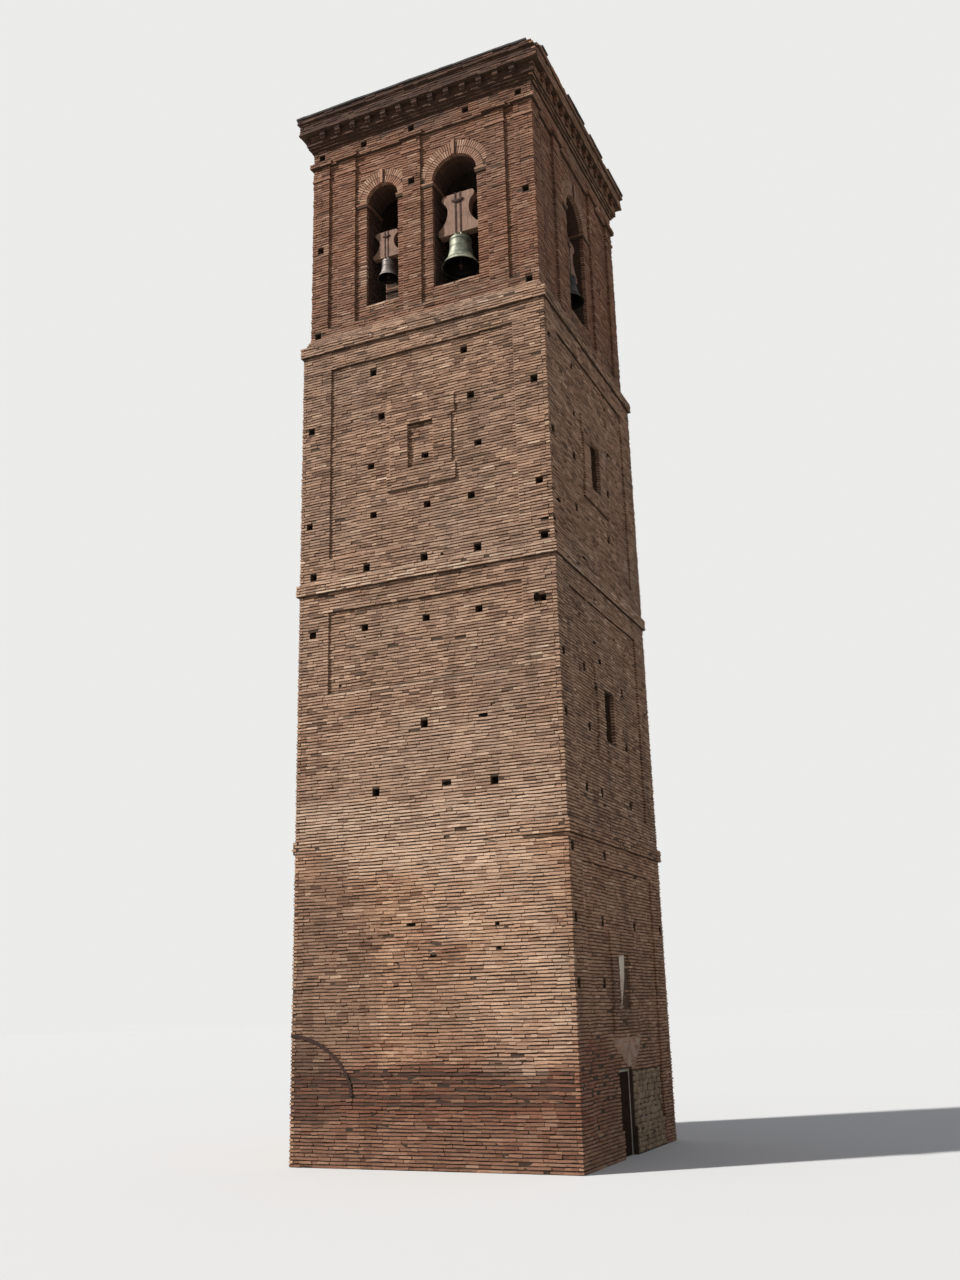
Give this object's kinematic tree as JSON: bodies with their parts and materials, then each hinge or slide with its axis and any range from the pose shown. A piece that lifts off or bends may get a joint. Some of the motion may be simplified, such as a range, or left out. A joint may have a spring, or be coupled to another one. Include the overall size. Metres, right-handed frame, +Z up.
{
  "type": "brick bell tower",
  "caption": "Square brick bell tower with storey bands, slit windows, a low door, an arched belfry with turning bells, a bracketed cornice and a low hipped tile roof.",
  "frame": {"origin": "centre of the square plan at ground level", "axes": "+Z up along the tower, front face with two arches towards -Y, right face with the doorway towards +X"},
  "size_m": [7.11, 7.11, 28.2217],
  "materials": {
    "brick": "weathered handmade brick in wide lime joints",
    "belfry_brick": "weathered redder brick in lime joints",
    "plaster": "matt lime plaster",
    "old_timber": "grey weathered timber",
    "roof_tile": "matt fired clay tile",
    "door_wood": "dark stained planks",
    "iron": "dull wrought iron",
    "bell_bronze": "bronze with green and grey patina",
    "yoke_wood": "pinkish tan weathered hardwood"
  },
  "bodies": {
    "tower": {"lower_front_wall": "brick", "lower_left_wall": "brick", "lower_back_wall": "brick", "lower_right_wall_near": "brick", "lower_right_wall_far": "brick", "lower_right_wall_over_door": "brick", "lower_window_infill": "plaster", "lower_string_course": "brick", "middle_front_wall_foot": "brick", "middle_front_wall_field": "brick", "middle_left_wall": "brick", "middle_back_wall": "brick", "middle_right_wall": "brick", "middle_string_course": "brick", "upper_front_wall": "brick", "upper_left_wall": "brick", "upper_back_wall": "brick", "upper_right_wall": "brick", "belfry_ledge": "brick", "belfry_floor": "old_timber", "belfry_front_wall": "belfry_brick", "belfry_left_wall": "belfry_brick", "belfry_back_wall": "belfry_brick", "belfry_right_wall": "belfry_brick", "entablature": "belfry_brick", "cornice": "belfry_brick", "roof_deck": "old_timber", "roof_tiles": "roof_tile", "door_frame": "old_timber", "door_pintles": "iron", "bell_bearings": "iron"},
    "door": {"door_leaf": "door_wood", "door_straps": "iron"},
    "great_bell_swing": {"great_bell": "bell_bronze", "great_bell_yoke": "yoke_wood", "great_bell_ironwork": "iron", "great_bell_clapper": "iron"},
    "small_bell_swing": {"small_bell": "bell_bronze", "small_bell_yoke": "yoke_wood", "small_bell_ironwork": "iron", "small_bell_clapper": "iron"},
    "side_bell_swing": {"side_bell": "bell_bronze", "side_bell_yoke": "yoke_wood", "side_bell_ironwork": "iron", "side_bell_clapper": "iron"}
  },
  "joints": [
    {"name": "door_hinge", "type": "hinge", "parent": "tower", "child": "door", "pos_m": [3.122, -0.566, 0], "axis": [0, 0, 1], "range_deg": [0, 90]},
    {"name": "great_bell_turn", "type": "hinge", "parent": "tower", "child": "great_bell_swing", "pos_m": [0.973, -2.805, 22.172], "axis": [1, 0, 0], "continuous": true},
    {"name": "small_bell_turn", "type": "hinge", "parent": "tower", "child": "small_bell_swing", "pos_m": [-1.12, -2.805, 22.052], "axis": [1, 0, 0], "continuous": true},
    {"name": "side_bell_turn", "type": "hinge", "parent": "tower", "child": "side_bell_swing", "pos_m": [2.805, 0, 22.132], "axis": [0, 1, 0], "continuous": true}
  ]
}
